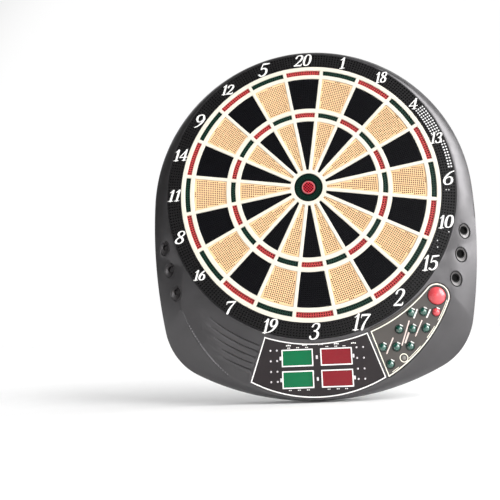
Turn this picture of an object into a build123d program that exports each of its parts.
from build123d import *
import os
from math import cos, hypot, radians, sin, sqrt, tan

# Electronic dartboard, in millimetres.
# Frame: X to the right, Z up, the target faces -Y. The origin is on the wall face, behind the bull.
# A "height" is a distance from the wall, towards the front.

# ---------------------------------------------------------------- driving dimensions

# target
dial_numbers = [20, 1, 18, 4, 13, 6, 10, 15, 2, 17, 3, 19, 7, 16, 8, 11, 14, 9, 12, 5]
sector_angle = 360 / len(dial_numbers)
inner_bull_radius = 8.8
bull_gap_radius = 9.5
bull_flange_radius = 10.4
bull_recess_radius = 12.4
bull_recess_depth = 3.0
hub_inner_radius = 18.9
inner_single = (24.0, 91.7)
triple_band = (97.5, 104.0)
outer_single = (109.9, 153.7)
double_band = (159.3, 165.9)
spider_radius = 171.5
spoke_width = 4.5
number_ring_inner = 171.6
number_ring_radius = 190.5
opening_radius = 191.0

# heights of the target's layers
spider_face = 34.0
number_ring_face = 33.4
segment_face = 33.0
spider_foot = 25.0
flange_top = 24.7
segment_foot = 23.5
mat_top = 22.0
mat_foot = 21.2
membrane_foot = 20.6
foam_foot = 15.6
board_foot = 12.6

# running gap and details of the segments
segment_gap = 0.3
flange_overhang = 1.2
segment_wall = 1.6
segment_skin = 2.0
stem_radius = 2.4
press_mat_radius = 187.8
backing_radius = 190.4
ring_thickness = 3.0
ring_skirt_wall = 2.0
tail_width = 22.0
tail_x = 18.0
tail_length = 21.8
tail_end_radius = 201.3
tail_slot_size = (64.0, 12.0)
tail_slot_height = 1.8

# casing outline at its widest level: a round top, long side arcs, a bottom arc and rounded corners
top_radius = 213.5
top_centre = (0.0, -11.0)
side_radius = 651.5
side_centre = (-437.9, -22.0)
bottom_radius = 348.0
bottom_centre = (0.0, 84.0)
corner_radius = 80.0
side_split_z = -75.0

# plateau: the flat front of the casing, round the target and over the console
plateau_radius = 193.0
plateau_side_angle = -18.0
plateau_wing = (169.5, -146.0)
plateau_corner = (107.0, -229.5)
plateau_foot_z = -260.5

# casing heights and walls
plateau_height = 31.5
rim_height = 14.0
skirt_foot = 12.0
flank_power = 1.6
shell_wall = 2.5
cover_inset = 4.0
cover_wall = 2.2
cover_flange_foot = 10.0
flange_inset = 0.6
lip_inset = 4.4
lip_top = 13.4
rib_radii = (60.0, 105.0, 150.0, 184.0)
rib_width = 2.0

# display and control panels
panel_top = 31.3
panel_foot = 28.8
panel_lip = 1.2
panel_lip_insets = (0.5, 2.0)
cutout_foot = 20.0
panel_gap = 0.2
panel_arc_radius = 195.8
display_corner_top = (64.0, -185.2)
display_corner_foot = (83.0, -238.6)
display_foot_z = -259.0
window_size = (37.7, 19.0)
window_x = 23.9
window_z = (-212.2, -237.2)
small_light_radius = 1.2
small_light_x = (49.0, 57.0)
small_light_z = (-202.7, -215.0, -227.3, -239.0)
large_light_size = (2.4, 4.4)
large_light_x = (-44.7, 0.0, 44.7)
lens_seat = 0.5
lens_thickness = 1.6
light_sink = 1.0
light_rise = 0.2
control_start = (66.3, -184.2)
control_foot = (84.5, -237.6)
control_bulge = (141.9, -189.0)
cap_centre = (152.0, -146.5)
cap_radius = 15.8

# buttons
small_cap_radius = 4.6
small_cap_rise = 3.4
big_cap_radius = 10.6
big_cap_rise = 5.6
button_gap = 0.35
button_stem_radius = 1.8
button_flange = 1.2
button_flange_heights = (26.6, 28.3)
button_shoulder = 31.6
button_stem_foot = 24.3
big_red_centre = (151.6, -146.2)
small_red_centre = (148.7, -165.7)
green_centres = [
    (118.3, -165.0),
    (133.3, -164.4),
    (102.3, -183.9),
    (118.3, -183.9),
    (134.6, -183.9),
    (80.7, -204.0),
    (97.3, -204.2),
    (113.8, -204.0),
    (88.3, -223.7),
]

# louvres over the speaker
louvre_radii = (207.6, 215.2, 223.0, 230.6, 238.2)
louvre_width = 1.6
louvre_right_angle = -110.3
louvre_left_angles = (-130.0, -127.5, -124.5, -121.0, -119.0)
speaker_centre = (-104.0, -192.0)
speaker_radius = 23.0
speaker_steps = ((14.2, 12.0, 5.0), (19.2, 17.0, 3.0), (22.2, 23.0, 4.0))
speaker_rim = 3.0
cone_foot = 23.2

# dart holder sockets
socket_centres = [(195.2, -68.0), (187.6, -97.4), (177.6, -127.1)]
socket_mouths = [27.5, 29.5, 31.3]
socket_half_axes = (6.6, 8.7)
socket_rim = 0.9
socket_gap = 0.1
socket_floor = 1.2
socket_bore_radius = 4.2
socket_bore_lift = 1.6
socket_funnel_depth = 5.0
socket_depth = 14.0

# electronics and power
board_size = (140.0, 50.0)
board_centre_z = -225.5
board_height = 19.0
board_thickness = 1.6
module_height = 7.0
module_gap = 0.1
chip_size = (16.0, 10.0)
chip_height = 1.4
chip_centres = ((45.0, -213.0), (45.0, -236.0), (-48.0, -213.0), (-48.0, -236.0))
keypad_height = 19.6
keypad_thickness = 1.4
keypad_inset = 3.0
switch_height = 1.4
switch_radius = 3.0
cell_length = 50.5
cell_radius = 7.1
cell_pitch = 14.6
cell_count = 3
cell_nub_radius = 2.6
cell_nub_length = 1.5
contact_radius = 3.2
bay_half_width = 30.9
bay_top_z = -196.6
bay_bottom_z = -252.6
bay_wall = 1.5
bay_roof = 16.7
jack_z = -22.0
jack_height = 6.0
jack_bore_radius = 2.75
jack_barrel_radius = 4.0
jack_bore_length = 9.0
jack_block_size = (7.6, 11.0)
jack_block_wall = 3.0
jack_gap = 0.2
plug_room_radius = 6.0
notch_start_x = 195.0
notch_length = 25.0

# battery door
door_half_width = 30.5
door_top_z = -202.6
door_bottom_z = -252.2
door_outer = 0.2
door_inner = 2.0
door_rib_height = 0.3
door_rib_size = (1.2, 40.0)
door_rib_pitch = 20.0
hinge_z = -199.5
hinge_height = 2.4
barrel_radius = 1.5
pin_radius = 1.0
pin_gap = 0.05
barrel_half_length = 26.4
pin_half_length = 30.2
ear_inner_x = 27.0
ear_foot_z = -201.2
ear_heights = (0.4, 4.6)

# fasteners
screw_centres = [(97.5, 168.8), (201.0, 22.0), (187.0, -158.0), (100.0, -238.0)]
screw_radius = 1.5
screw_head_radius = 3.0
boss_radius = 3.6
boss_foot = 13.6
pillar_radius = 4.2
screw_head_foot = 5.0
screw_head_top = 7.0
screw_tip = 18.0
pilot_room = 0.4
keyhole_x = 60.0
keyhole_z = 116.0
keyhole_radius = 4.8
keyhole_slot_width = 4.6
keyhole_slot_length = 14.0

os.makedirs("parts", exist_ok=True)


# ---------------------------------------------------------------- outlines


def between(start, end, share):
    """The point that lies this share of the way from start to end."""
    return (start[0] + (end[0] - start[0]) * share, start[1] + (end[1] - start[1]) * share)


def pulled_in(point, inset):
    """The point moved by inset towards the middle of the casing."""
    middle = (0.0, -30.0)
    reach = hypot(point[0] - middle[0], point[1] - middle[1])
    return between(point, middle, inset / reach)


def corner_arc_centre():
    """Centre of the corner arc, which touches the side arc and the bottom arc from inside."""
    from_side = side_radius - corner_radius
    from_bottom = bottom_radius - corner_radius
    dx = bottom_centre[0] - side_centre[0]
    dz = bottom_centre[1] - side_centre[1]
    apart = hypot(dx, dz)
    along = (from_side**2 - from_bottom**2 + apart**2) / (2 * apart)
    across = sqrt(from_side**2 - along**2)
    foot = (side_centre[0] + along * dx / apart, side_centre[1] + along * dz / apart)
    return (foot[0] + across * dz / apart, foot[1] - across * dx / apart)


def beyond(centre, point, radius):
    """The point at this radius from centre, on the ray that passes through point."""
    return between(centre, point, radius / hypot(point[0] - centre[0], point[1] - centre[1]))


def side_point(z):
    """The point of the right side arc at this Z."""
    return (side_centre[0] + sqrt(side_radius**2 - (z - side_centre[1]) ** 2), z)


def on_circle(radius, angle, centre=(0.0, 0.0)):
    """The point at this radius and angle, in degrees counter-clockwise from +X."""
    return (centre[0] + radius * cos(radians(angle)), centre[1] + radius * sin(radians(angle)))


def rim_arcs():
    """The right half of the casing's widest outline, as five arcs of three points each."""
    corner = corner_arc_centre()
    shoulder = beyond(side_centre, top_centre, side_radius)
    waist = side_point(side_split_z)
    corner_start = beyond(side_centre, corner, side_radius)
    corner_end = beyond(bottom_centre, corner, bottom_radius)
    corner_middle = beyond(corner, between(corner_start, corner_end, 0.5), corner_radius)
    foot = (0.0, bottom_centre[1] - bottom_radius)
    foot_middle = beyond(bottom_centre, between(corner_end, foot, 0.5), bottom_radius)
    return [
        ((0.0, top_centre[1] + top_radius), on_circle(top_radius, 46, top_centre), shoulder),
        (shoulder, side_point((shoulder[1] + side_split_z) / 2), waist),
        (waist, side_point((side_split_z + corner_start[1]) / 2), corner_start),
        (corner_start, corner_middle, corner_end),
        (corner_end, foot_middle, foot),
    ]


def plateau_arcs():
    """The right half of the plateau's outline, with one arc for each of the rim's."""
    shoulder = on_circle(plateau_radius, -1.5)
    waist = on_circle(plateau_radius, plateau_side_angle)
    return [
        ((0.0, plateau_radius), on_circle(plateau_radius, 44), shoulder),
        (shoulder, on_circle(plateau_radius, plateau_side_angle / 2), waist),
        (waist, (178.2, -103.0), plateau_wing),
        (plateau_wing, (142.5, -192.5), plateau_corner),
        (plateau_corner, (55.0, -252.8), (0.0, plateau_foot_z)),
    ]


def casing_outline(height, spread, inset=0.0):
    """The casing's outline as a face at this height. Spread 0 is the plateau's edge and 1 is the rim."""
    half = []
    for inner, outer in zip(plateau_arcs(), rim_arcs()):
        half.append([pulled_in(between(inner[k], outer[k], spread), inset) for k in range(3)])
    with BuildSketch(Plane.XZ.offset(height)) as outline:
        with BuildLine():
            for start, middle, end in half:
                ThreePointArc(start, middle, end)
            for start, middle, end in reversed(half):
                ThreePointArc((-end[0], end[1]), (-middle[0], middle[1]), (-start[0], start[1]))
        make_face()
    return outline.sketch


def flank_height(spread):
    """Height of the casing's outer surface at this spread."""
    return rim_height + (plateau_height - rim_height) * (1 - spread**flank_power)


def flank_sections(inset, drop):
    """Outlines from the rim up to the plateau, moved in and down for the inner surface."""
    spreads = (1.0, 0.75, 0.5, 0.25, 0.0)
    return [casing_outline(flank_height(s) - drop, s, inset) for s in spreads]


def wedge_cell(height, band, side_gap, grow=0.0):
    """One cell of the web at the top of the target, grown outwards by grow on every side."""
    side = side_gap - grow
    slope = tan(radians(sector_angle / 2))
    apex = side / sin(radians(sector_angle / 2))
    reach = band[1] + 20
    with BuildSketch(Plane.XZ.offset(height)) as cell:
        Circle(band[1] + grow)
        Circle(band[0] - grow, mode=Mode.SUBTRACT)
        with BuildLine():
            Polyline((0, apex), (reach * slope, apex + reach), (-reach * slope, apex + reach), close=True)
        make_face(mode=Mode.INTERSECT)
    return cell.sketch


def ring_face(height, inner, outer):
    """A flat ring about the target's axis."""
    with BuildSketch(Plane.XZ.offset(height)) as ring:
        Circle(outer)
        Circle(inner, mode=Mode.SUBTRACT)
    return ring.sketch


def display_outline(height, grow=0.0):
    """The display panel's outline, a sector with slanted ends, grown by grow."""
    top_x, top_z = display_corner_top
    foot_x, foot_z = display_corner_foot
    with BuildSketch(Plane.XZ.offset(height)) as outline:
        with BuildLine():
            ThreePointArc((-top_x, top_z), (0, -panel_arc_radius), (top_x, top_z))
            Line((top_x, top_z), (foot_x, foot_z))
            ThreePointArc((foot_x, foot_z), (0, display_foot_z), (-foot_x, foot_z))
            Line((-foot_x, foot_z), (-top_x, top_z))
        make_face()
        if grow:
            offset(amount=grow)
    return outline.sketch


def control_outline(height, grow=0.0):
    """The control panel's outline: along the target, round the cap and back on a long arc."""
    cap_start = beyond((0, 0), cap_centre, hypot(*cap_centre) - cap_radius)
    arc_middle = on_circle(panel_arc_radius, -58)
    start = beyond((0, 0), control_start, panel_arc_radius)
    with BuildSketch(Plane.XZ.offset(height)) as outline:
        with BuildLine():
            inner_arc = ThreePointArc(start, arc_middle, cap_start)
            cap = ThreePointArc(
                cap_start,
                on_circle(cap_radius, 48, cap_centre),
                on_circle(cap_radius, -22, cap_centre),
            )
            ThreePointArc(cap @ 1, control_bulge, control_foot)
            Line(control_foot, inner_arc @ 0)
        make_face()
        if grow:
            offset(amount=grow)
    return outline.sketch


def write(builder, label):
    """Names a finished piece and writes its STEP file."""
    builder.part.label = label
    export_step(builder.part, f"parts/{label}.step")


# ---------------------------------------------------------------- casing

casing_outer = loft(sections=flank_sections(0, 0), ruled=True)
casing_cavity = loft(sections=flank_sections(shell_wall, shell_wall), ruled=True)
skirt_height = rim_height - skirt_foot
screw_places = [(side * x, z) for x, z in screw_centres for side in (1, -1)]
socket_places = [(side * x, z) for x, z in socket_centres for side in (1, -1)]
socket_heights = [mouth for mouth in socket_mouths for side in (1, -1)]

with BuildPart() as screw_bosses:
    with BuildSketch(Plane.XZ.offset(boss_foot)) as boss_circles:
        with Locations(*screw_places):
            Circle(boss_radius)
    extrude(amount=plateau_height)
    add(casing_outer, mode=Mode.INTERSECT)

with BuildPart() as front_housing:
    add(casing_outer)
    extrude(casing_outline(skirt_foot, 1.0), amount=skirt_height)
    add(casing_cavity, mode=Mode.SUBTRACT)
    extrude(casing_outline(skirt_foot, 1.0, shell_wall), amount=skirt_height, mode=Mode.SUBTRACT)
    add(screw_bosses.part)
    with BuildSketch(Plane.XZ.offset(skirt_foot)) as pilot_holes:
        with Locations(*screw_places):
            Circle(screw_radius + pin_gap)
    extrude(amount=screw_tip - skirt_foot + pilot_room, mode=Mode.SUBTRACT)
    with BuildSketch(Plane.XZ.offset(skirt_foot)) as target_opening:
        Circle(opening_radius)
    extrude(amount=plateau_height, mode=Mode.SUBTRACT)
    extrude(display_outline(cutout_foot, panel_gap), amount=plateau_height, mode=Mode.SUBTRACT)
    extrude(control_outline(cutout_foot, panel_gap), amount=plateau_height, mode=Mode.SUBTRACT)
    with BuildSketch(Plane.XZ.offset(cutout_foot)) as louvre_slots:
        for radius, left_angle in zip(louvre_radii, louvre_left_angles):
            with BuildLine():
                CenterArc((0, 0), radius, left_angle, louvre_right_angle - left_angle)
            trace(line_width=louvre_width)
    extrude(amount=plateau_height, mode=Mode.SUBTRACT)
    with BuildSketch(Plane.XZ.offset(skirt_foot)) as socket_openings:
        opening_rim = socket_rim + socket_gap
        with Locations(*socket_places):
            Ellipse(socket_half_axes[0] + opening_rim, socket_half_axes[1] + opening_rim)
    extrude(amount=plateau_height, mode=Mode.SUBTRACT)
write(front_housing, "front_housing")

with BuildPart() as dart_sockets:
    for (x, z), mouth in zip(socket_places, socket_heights):
        with BuildSketch(Plane.XZ.offset(mouth - socket_depth)) as socket_plug:
            with Locations((x, z)):
                Ellipse(socket_half_axes[0] + socket_rim, socket_half_axes[1] + socket_rim)
        extrude(amount=plateau_height)
    add(casing_outer, mode=Mode.INTERSECT)
    for (x, z), mouth in zip(socket_places, socket_heights):
        with BuildSketch(Plane.XZ.offset(mouth - socket_funnel_depth)) as funnel_foot:
            with Locations((x, z + socket_bore_lift)):
                Circle(socket_bore_radius)
        with BuildSketch(Plane.XZ.offset(mouth)) as funnel_mouth:
            with Locations((x, z)):
                Ellipse(socket_half_axes[0], socket_half_axes[1])
        loft(mode=Mode.SUBTRACT)
        with BuildSketch(Plane.XZ.offset(mouth)) as mouth_relief:
            with Locations((x, z)):
                Ellipse(socket_half_axes[0], socket_half_axes[1])
        extrude(amount=socket_funnel_depth, mode=Mode.SUBTRACT)
        with BuildSketch(Plane.XZ.offset(mouth - socket_depth + socket_floor)) as socket_bore:
            with Locations((x, z + socket_bore_lift)):
                Circle(socket_bore_radius)
        extrude(amount=socket_depth - socket_funnel_depth, mode=Mode.SUBTRACT)
write(dart_sockets, "dart_sockets")

with BuildPart() as back_cover:
    extrude(casing_outline(0, 1.0, cover_inset), amount=cover_flange_foot)
    extrude(casing_outline(cover_flange_foot, 1.0, flange_inset), amount=skirt_foot - cover_flange_foot)
    extrude(casing_outline(skirt_foot, 1.0, lip_inset), amount=lip_top - skirt_foot)
    tray_depth = lip_top - cover_wall
    lip_outline = casing_outline(cover_wall, 1.0, cover_inset + cover_wall)
    extrude(lip_outline, amount=tray_depth, mode=Mode.SUBTRACT)
    for radius in rib_radii:
        extrude(ring_face(cover_wall, radius, radius + rib_width), amount=board_foot - cover_wall)
    with BuildSketch(Plane.XZ.offset(cover_wall)) as pillars:
        with Locations(*screw_places):
            Circle(pillar_radius)
    extrude(amount=lip_top - cover_wall)
    with BuildSketch(Plane.XZ.offset(cover_wall)) as bay_walls:
        with Locations((0, (bay_top_z + bay_bottom_z) / 2)):
            Rectangle(2 * (bay_half_width + bay_wall), bay_top_z - bay_bottom_z + 2 * bay_wall)
    extrude(amount=bay_roof + 1.0 - cover_wall)
    with BuildSketch(Plane.XZ) as bay_opening:
        with Locations((0, (bay_top_z + bay_bottom_z) / 2)):
            Rectangle(2 * bay_half_width, bay_top_z - bay_bottom_z)
    extrude(amount=bay_roof, mode=Mode.SUBTRACT)
    ear_width = bay_half_width - ear_inner_x
    with BuildSketch(Plane.XZ.offset(ear_heights[0])) as hinge_ears:
        for side in (1, -1):
            with Locations((side * (ear_inner_x + ear_width / 2), (bay_top_z + ear_foot_z) / 2)):
                Rectangle(ear_width, bay_top_z - ear_foot_z)
    extrude(amount=ear_heights[1] - ear_heights[0])
    with BuildSketch(Plane.YZ.offset(-bay_half_width)) as hinge_bores:
        with Locations((-hinge_height, hinge_z)):
            Circle(pin_radius + pin_gap)
    extrude(amount=2 * bay_half_width, mode=Mode.SUBTRACT)
    with BuildSketch(Plane.XZ) as screw_wells:
        with Locations(*screw_places):
            Circle(screw_head_radius + 0.4)
    extrude(amount=screw_head_foot + 2.0, mode=Mode.SUBTRACT)
    with BuildSketch(Plane.XZ) as screw_holes:
        with Locations(*screw_places):
            Circle(screw_radius + 0.2)
    extrude(amount=lip_top, mode=Mode.SUBTRACT)
    with BuildSketch(Plane.XZ) as keyholes:
        for side in (1, -1):
            with Locations((side * keyhole_x, keyhole_z)):
                Circle(keyhole_radius)
            with Locations((side * keyhole_x, keyhole_z + keyhole_slot_length / 2)):
                SlotCenterToCenter(keyhole_slot_length, keyhole_slot_width, rotation=90)
    extrude(amount=cover_wall, mode=Mode.SUBTRACT)
    with BuildSketch(Plane.YZ.offset(notch_start_x)) as jack_notch:
        with Locations((-jack_height, jack_z)):
            Circle(jack_barrel_radius + jack_gap)
    extrude(amount=notch_length, mode=Mode.SUBTRACT)
    jack_face_x = side_point(jack_z)[0] - cover_inset
    with BuildSketch(Plane.YZ.offset(jack_face_x)) as plug_room:
        with Locations((-jack_height, jack_z)):
            Circle(plug_room_radius)
    extrude(amount=notch_length, mode=Mode.SUBTRACT)
write(back_cover, "back_cover")

with BuildPart() as battery_door:
    with BuildSketch(Plane.XZ.offset(door_outer)) as door_plate:
        with Locations((0, (door_top_z + door_bottom_z) / 2)):
            Rectangle(2 * door_half_width, door_top_z - door_bottom_z)
        with Locations((0, (hinge_z + door_top_z) / 2)):
            Rectangle(2 * barrel_half_length, hinge_z - door_top_z)
    extrude(amount=door_inner - door_outer)
    with BuildSketch(Plane.XZ.offset(door_inner)) as door_ribs:
        with GridLocations(door_rib_pitch, 0, 3, 1):
            with Locations((0, (door_top_z + door_bottom_z) / 2)):
                Rectangle(*door_rib_size)
    extrude(amount=door_rib_height)
    with BuildSketch(Plane.YZ.offset(-barrel_half_length)) as barrel_circle:
        with Locations((-hinge_height, hinge_z)):
            Circle(barrel_radius)
    extrude(amount=2 * barrel_half_length)
    with BuildSketch(Plane.YZ.offset(-pin_half_length)) as pin_circle:
        with Locations((-hinge_height, hinge_z)):
            Circle(pin_radius)
    extrude(amount=2 * pin_half_length)
write(battery_door, "battery_door")

# ---------------------------------------------------------------- target

with BuildPart() as number_ring:
    ring_foot = number_ring_face - ring_thickness
    extrude(ring_face(ring_foot, number_ring_inner, number_ring_radius), amount=ring_thickness)
    skirt_inner = number_ring_radius - ring_skirt_wall
    extrude(ring_face(foam_foot, skirt_inner, number_ring_radius), amount=ring_foot - foam_foot)
    with BuildSketch(Plane.XZ.offset(membrane_foot - tail_slot_height / 4)) as tail_slot:
        with Locations((0, -number_ring_radius)):
            Rectangle(*tail_slot_size)
    extrude(amount=tail_slot_height, mode=Mode.SUBTRACT)
write(number_ring, "number_ring")

with BuildPart() as spider:
    with BuildSketch(Plane.XZ.offset(spider_foot)) as web:
        Circle(spider_radius)
        Circle(hub_inner_radius, mode=Mode.SUBTRACT)
        for band in (inner_single, triple_band, outer_single, double_band):
            cell = wedge_cell(0, band, spoke_width / 2)
            with PolarLocations(0, len(dial_numbers)):
                add(Plane.XZ.to_local_coords(cell), mode=Mode.SUBTRACT)
    extrude(amount=spider_face - spider_foot)
write(spider, "spider")

side_gap = spoke_width / 2 + segment_gap
with BuildPart() as top_segments:
    for band in (inner_single, triple_band, outer_single, double_band):
        fitted = (band[0] + segment_gap, band[1] - segment_gap)
        extrude(wedge_cell(segment_foot, fitted, side_gap), amount=segment_face - segment_foot)
        extrude(wedge_cell(segment_foot, fitted, side_gap, flange_overhang), amount=flange_top - segment_foot)
    for band in (inner_single, outer_single):
        fitted = (band[0] + segment_gap, band[1] - segment_gap)
        hollow = segment_face - segment_skin - segment_foot
        extrude(wedge_cell(segment_foot, fitted, side_gap, -segment_wall), amount=hollow, mode=Mode.SUBTRACT)
        with BuildSketch(Plane.XZ.offset(segment_foot)) as stem:
            with Locations((0, (band[0] + 2 * band[1]) / 3)):
                Circle(stem_radius)
        extrude(amount=segment_face - segment_foot)

for index, number in enumerate(dial_numbers):
    with BuildPart() as segments:
        add(top_segments.part.rotate(Axis.Y, index * sector_angle))
    write(segments, f"segments_{number}")

with BuildPart() as bull_outer:
    outer_edge = hub_inner_radius - segment_gap
    extrude(ring_face(segment_foot, bull_gap_radius, outer_edge), amount=segment_face - segment_foot)
    outer_flange = ring_face(segment_foot, bull_recess_radius, outer_edge + flange_overhang)
    extrude(outer_flange, amount=flange_top - segment_foot)
    recess = ring_face(segment_foot, inner_bull_radius, bull_recess_radius)
    extrude(recess, amount=bull_recess_depth, mode=Mode.SUBTRACT)
write(bull_outer, "bull_outer")

with BuildPart() as bull_inner:
    with BuildSketch(Plane.XZ.offset(segment_foot)) as bull_flange:
        Circle(bull_flange_radius)
    extrude(amount=flange_top - segment_foot)
    with BuildSketch(Plane.XZ.offset(segment_foot)) as bull_cap:
        Circle(inner_bull_radius)
    extrude(amount=segment_face - segment_foot)
write(bull_inner, "bull_inner")

with BuildPart() as rubber_mat:
    with BuildSketch(Plane.XZ.offset(mat_foot)):
        Circle(press_mat_radius)
    extrude(amount=mat_top - mat_foot)
write(rubber_mat, "rubber_mat")

with BuildPart() as sensor_membrane:
    with BuildSketch(Plane.XZ.offset(membrane_foot)):
        Circle(press_mat_radius)
        for side in (1, -1):
            with Locations((side * tail_x, tail_length / 2 - tail_end_radius)):
                Rectangle(tail_width, tail_length)
    extrude(amount=mat_foot - membrane_foot)
write(sensor_membrane, "sensor_membrane")

with BuildPart() as foam_mat:
    with BuildSketch(Plane.XZ.offset(foam_foot)):
        Circle(press_mat_radius)
    extrude(amount=membrane_foot - foam_foot)
write(foam_mat, "foam_mat")

with BuildPart() as backing_board:
    with BuildSketch(Plane.XZ.offset(board_foot)):
        Circle(backing_radius)
    extrude(amount=foam_foot - board_foot)
write(backing_board, "backing_board")

# ---------------------------------------------------------------- display

window_places = [(side * window_x, z) for side in (1, -1) for z in window_z]
small_light_places = [(side * x, z) for side in (1, -1) for x in small_light_x for z in small_light_z]
large_light_places = [(x, z) for x in large_light_x for z in window_z]

with BuildPart() as display_panel:
    extrude(display_outline(panel_foot), amount=panel_top - panel_foot)
    lip_foot = panel_foot - panel_lip
    extrude(display_outline(lip_foot, -panel_lip_insets[0]), amount=panel_lip)
    extrude(display_outline(lip_foot, -panel_lip_insets[1]), amount=panel_lip, mode=Mode.SUBTRACT)
    with BuildSketch(Plane.XZ.offset(panel_foot)) as panel_windows:
        with Locations(*window_places):
            Rectangle(*window_size)
        with Locations(*small_light_places):
            Circle(small_light_radius + 0.05)
        with Locations(*large_light_places):
            Rectangle(large_light_size[0] + 0.1, large_light_size[1] + 0.1)
    extrude(amount=panel_top - panel_foot, mode=Mode.SUBTRACT)
write(display_panel, "display_panel")

for colour, side in (("green", -1), ("red", 1)):
    with BuildPart() as lenses:
        with BuildSketch(Plane.XZ.offset(panel_foot + lens_seat)):
            with Locations(*[(side * window_x, z) for z in window_z]):
                RectangleRounded(window_size[0] - 0.1, window_size[1] - 0.1, 0.5)
        extrude(amount=lens_thickness)
    write(lenses, f"window_lenses_{colour}")

with BuildPart() as indicator_lights:
    with BuildSketch(Plane.XZ.offset(panel_foot - light_sink)):
        with Locations(*small_light_places):
            Circle(small_light_radius)
        with Locations(*large_light_places):
            Rectangle(*large_light_size)
    extrude(amount=panel_top + light_rise + light_sink - panel_foot)
write(indicator_lights, "indicator_lights")

with BuildPart() as digit_modules:
    with BuildSketch(Plane.XZ.offset(board_height + board_thickness)):
        with Locations(*window_places):
            Rectangle(window_size[0] - 2 * module_gap, window_size[1] - 2 * module_gap)
    extrude(amount=module_height)
write(digit_modules, "digit_modules")

with BuildPart() as main_board:
    with BuildSketch(Plane.XZ.offset(board_height)):
        with Locations((0, board_centre_z)):
            RectangleRounded(board_size[0], board_size[1], 3.0)
    extrude(amount=board_thickness)
    with BuildSketch(Plane.XZ.offset(board_height - chip_height)) as driver_chips:
        with Locations(*chip_centres):
            Rectangle(*chip_size)
    extrude(amount=chip_height)
write(main_board, "main_board")

# ---------------------------------------------------------------- controls

with BuildPart() as control_panel:
    extrude(control_outline(panel_foot), amount=panel_top - panel_foot)
    with BuildSketch(Plane.XZ.offset(panel_foot)) as button_holes:
        with Locations(*green_centres, small_red_centre):
            Circle(small_cap_radius + button_gap)
        with Locations(big_red_centre):
            Circle(big_cap_radius + button_gap)
    extrude(amount=panel_top - panel_foot, mode=Mode.SUBTRACT)
write(control_panel, "control_panel")

with BuildPart() as keypad_board:
    extrude(control_outline(keypad_height, -keypad_inset), amount=keypad_thickness)
    with BuildSketch(Plane.XZ.offset(keypad_height + keypad_thickness)) as dome_switches:
        with Locations(*green_centres, small_red_centre, big_red_centre):
            Circle(switch_radius)
    extrude(amount=switch_height)
write(keypad_board, "keypad_board")


def button_profile(centre, cap_radius, rise):
    """Half section of a domed button: stem, retaining flange, skirt and dome."""
    flange_radius = cap_radius + button_flange
    flange_low, flange_high = button_flange_heights
    crown = button_shoulder + rise
    dome_radius = (cap_radius**2 + rise**2) / (2 * rise)
    half_x = cap_radius / 2
    half_y = crown - dome_radius + sqrt(dome_radius**2 - half_x**2)
    section = Plane(origin=(centre[0], 0, centre[1]), x_dir=(1, 0, 0), z_dir=(0, 0, -1))
    with BuildSketch(section) as profile:
        with BuildLine():
            Polyline(
                (0, crown),
                (0, button_stem_foot),
                (button_stem_radius, button_stem_foot),
                (button_stem_radius, flange_low),
                (flange_radius, flange_low),
                (flange_radius, flange_high),
                (cap_radius, flange_high),
                (cap_radius, button_shoulder),
            )
            ThreePointArc((cap_radius, button_shoulder), (half_x, half_y), (0, crown))
        make_face()
    return profile.sketch


buttons = {"button_red_large": (big_red_centre, big_cap_radius, big_cap_rise)}
buttons["button_red_small"] = (small_red_centre, small_cap_radius, small_cap_rise)
for place, centre in enumerate(green_centres, start=1):
    buttons[f"button_green_{place}"] = (centre, small_cap_radius, small_cap_rise)

for name, (centre, cap_radius, rise) in buttons.items():
    with BuildPart() as button:
        revolve(
            button_profile(centre, cap_radius, rise),
            axis=Axis((centre[0], 0, centre[1]), (0, -1, 0)),
        )
    write(button, name)

# ---------------------------------------------------------------- sound and power

with BuildPart() as speaker:
    for height, radius, thickness in speaker_steps:
        with BuildSketch(Plane.XZ.offset(height)):
            with Locations(speaker_centre):
                Circle(radius)
        extrude(amount=thickness)
    with BuildSketch(Plane.XZ.offset(cone_foot)) as cone_hollow:
        with Locations(speaker_centre):
            Circle(speaker_radius - speaker_rim)
    extrude(amount=speaker_rim, mode=Mode.SUBTRACT)
write(speaker, "speaker")

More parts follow.
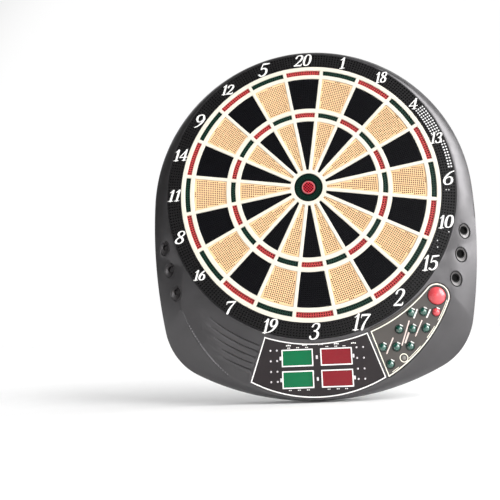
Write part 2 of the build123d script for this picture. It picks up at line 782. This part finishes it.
cell_rows = [(bay_top_z + bay_bottom_z) / 2 + cell_pitch * (row - 1) - 1.0 for row in range(cell_count)]
cell_height = bay_roof - cell_radius - 0.1

with BuildPart() as battery_cells:
    for row_z in cell_rows:
        with BuildSketch(Plane.YZ.offset(-cell_length / 2)) as cell_circle:
            with Locations((-cell_height, row_z)):
                Circle(cell_radius)
        extrude(amount=cell_length - cell_nub_length)
        with BuildSketch(Plane.YZ.offset(-cell_length / 2)) as cell_nub:
            with Locations((-cell_height, row_z)):
                Circle(cell_nub_radius)
        extrude(amount=cell_length)
write(battery_cells, "battery_cells")

with BuildPart() as battery_contacts:
    for side in (-1, 1):
        first_x = cell_length / 2 if side > 0 else -bay_half_width
        for row_z in cell_rows:
            with BuildSketch(Plane.YZ.offset(first_x)) as contact_coil:
                with Locations((-cell_height, row_z)):
                    Circle(contact_radius)
            extrude(amount=bay_half_width - cell_length / 2)
write(battery_contacts, "battery_contacts")

with BuildPart() as power_jack:
    jack_length = jack_bore_length + jack_block_wall
    with BuildSketch(Plane.YZ.offset(jack_face_x - jack_length)) as jack_body:
        with Locations((-jack_height, jack_z)):
            Rectangle(*jack_block_size)
    extrude(amount=jack_length - cover_wall - jack_gap)
    with BuildSketch(Plane.YZ.offset(jack_face_x - jack_length)) as jack_barrel:
        with Locations((-jack_height, jack_z)):
            Circle(jack_barrel_radius)
    extrude(amount=jack_length)
    with BuildSketch(Plane.YZ.offset(jack_face_x - jack_bore_length)) as jack_bore:
        with Locations((-jack_height, jack_z)):
            Circle(jack_bore_radius)
    extrude(amount=jack_bore_length, mode=Mode.SUBTRACT)
write(power_jack, "power_jack")

with BuildPart() as housing_screws:
    with BuildSketch(Plane.XZ.offset(screw_head_foot)) as screw_heads:
        with Locations(*screw_places):
            Circle(screw_head_radius)
    extrude(amount=screw_head_top - screw_head_foot)
    with BuildSketch(Plane.XZ.offset(screw_head_foot)) as screw_shanks:
        with Locations(*screw_places):
            Circle(screw_radius)
    extrude(amount=screw_tip - screw_head_foot)
write(housing_screws, "housing_screws")
